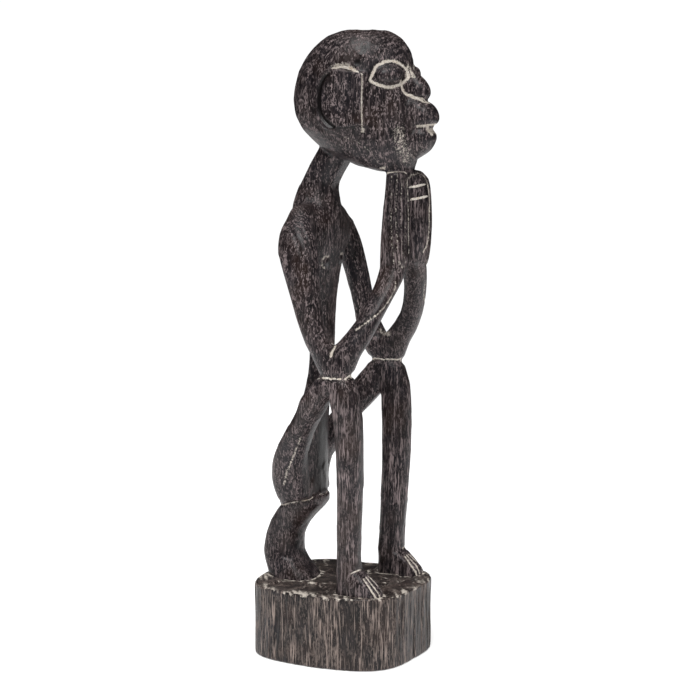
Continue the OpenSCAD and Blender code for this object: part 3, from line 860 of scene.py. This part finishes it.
# %% Put paste on the plinth
rim_width, scratch_reach, contact_reach = 1.4, 12, 2.6
radius = np.hypot(*(points[:, :2] - foot_of("plinth")[:2]).T)
hollow = neighbour_mean(((relaxed(points, 16, 0.6) - points) * normals).sum(1))
level = normals[:, 2] > 0.8
contact = np.full(len(points), 1e9)
for which in np.flatnonzero(level):
    contact[which] = skin.find_nearest(points[which].tolist())[3]
streaks = np.array([noise.noise(Vector((x * 0.06 + y * 0.03, y * 0.3 - x * 0.2, 2)))
                    for x, y, z in points.tolist()])
flecks = np.array([noise.noise(Vector(spot) * 0.4) for spot in points.tolist()])
paste_knots_and_shade = (0.58 + 0.25 * flecks) * np.exp(-((inset / rim_width) ** 2))
paste_knots_and_shade = np.maximum(paste_knots_and_shade, level * (0.42 + 0.7 * streaks) * np.exp(-((inset / scratch_reach) ** 2)))
paste_knots_and_shade = np.maximum(paste_knots_and_shade, level * (0.46 + 0.6 * streaks) * ridge)
paste_knots_and_shade = np.maximum(paste_knots_and_shade, (0.52 + 1.1 * flecks) * np.exp(-((contact / contact_reach) ** 2)))
numbers = {"paste_knots_and_shade": paste_knots_and_shade, "hollow": hollow, "grain": np.ones(len(points))}
left_open = carved_piece("carved_plinth", points, quads, normals, numbers, plinth_wood, "plinth_wood")
print("plinth", len(quads), "faces,", left_open, "open edges, radius up to", radius.max().round(1))

# %% [markdown]
# ## Floor, light and camera
# A small pale floor, which glows a little, lies in a white surround. Three far lamps with wide
# discs give soft shadows: a strong one high beside the camera, a faint one to its right and one
# overhead, named as the camera sees them. The surround is white to the camera, but it lights the
# figure less, and it is almost black in reflections, so that the dark wood stays dark. The camera
# stands on the figure's right, a little above it and turned towards its front.

# %% Set the stage
floor_half, floor_drop, floor_glow = 0.9, 0.0002, 0.4
floor_mesh = new_mesh("floor", np.array([(-1, -1, 0), (1, -1, 0), (1, 1, 0), (-1, 1, 0)]) * floor_half,
                      np.array([(0, 1, 2, 3)]))
floor = bpy.data.objects.new("floor", floor_mesh)
bpy.context.collection.objects.link(floor)
pale = Finish(bpy.data.materials.new("pale_floor"))
grit = pale.cloud(pale.stretched((1, 1, 1)), 3.0)
floor_colour = pale.blend(grit, (0.9, 0.9, 0.9, 1), (0.93, 0.93, 0.93, 1))
floor_mesh.materials.append(pale.close(floor_colour, 0.6, grit, 0.02, Emission_Color=(1, 1, 1, 1),
                                       Emission_Strength=floor_glow))
floor.location.z = -floor_drop


def lamp(name, turn, lift, strength, softness):
    light = bpy.data.lights.new(name, "SUN")
    light.energy, light.angle = strength, math.radians(softness)
    thing = bpy.data.objects.new(name, light)
    bpy.context.collection.objects.link(thing)
    turn, lift = math.radians(turn), math.radians(lift)
    ray = Vector((math.sin(turn) * math.cos(lift), -math.cos(turn) * math.cos(lift), math.sin(lift)))
    thing.rotation_euler = ray.to_track_quat("Z", "Y").to_euler()


lamp("lamp_front_left", -73, 50, 2.35, 30)
lamp("lamp_right", -20, 30, 0.3, 40)
lamp("lamp_top", -120, 82, 0.8, 45)
seen_white, ambient, mirrored_light = 1.05, 0.28, 0.03
surround = Finish(bpy.data.worlds.new("white_surround"))
seen = surround.node("ShaderNodeLightPath", out="Is Camera Ray")
mirror_seen = surround.node("ShaderNodeLightPath", out="Is Glossy Ray")
strength = ambient + (seen_white - ambient) * seen - (ambient - mirrored_light) * mirror_seen
glow = surround.node("ShaderNodeBackground", {}, {"Color": (1, 1, 1, 1), "Strength": strength})
surround.node("ShaderNodeOutputWorld", {}, {"Surface": glow})
bpy.context.scene.world = surround.owner
bpy.context.scene.view_settings.view_transform = "Standard"

camera_turn, camera_distance, camera_height = math.radians(-65), 1.25, 0.362
aim = Vector((0.0019, 0.0008, 0.198))
camera = bpy.data.objects.new("camera", bpy.data.cameras.new("camera"))
bpy.context.collection.objects.link(camera)
camera.data.sensor_width = 36.0
camera.data.lens = 100.2
camera.location = Vector((math.sin(camera_turn), -math.cos(camera_turn), 0)) * camera_distance
camera.location += Vector((0, 0.0049, camera_height))
camera.rotation_euler = (aim - camera.location).to_track_quat("-Z", "Y").to_euler()
bpy.context.scene.camera = camera
print("camera at", [round(c, 3) for c in camera.location])
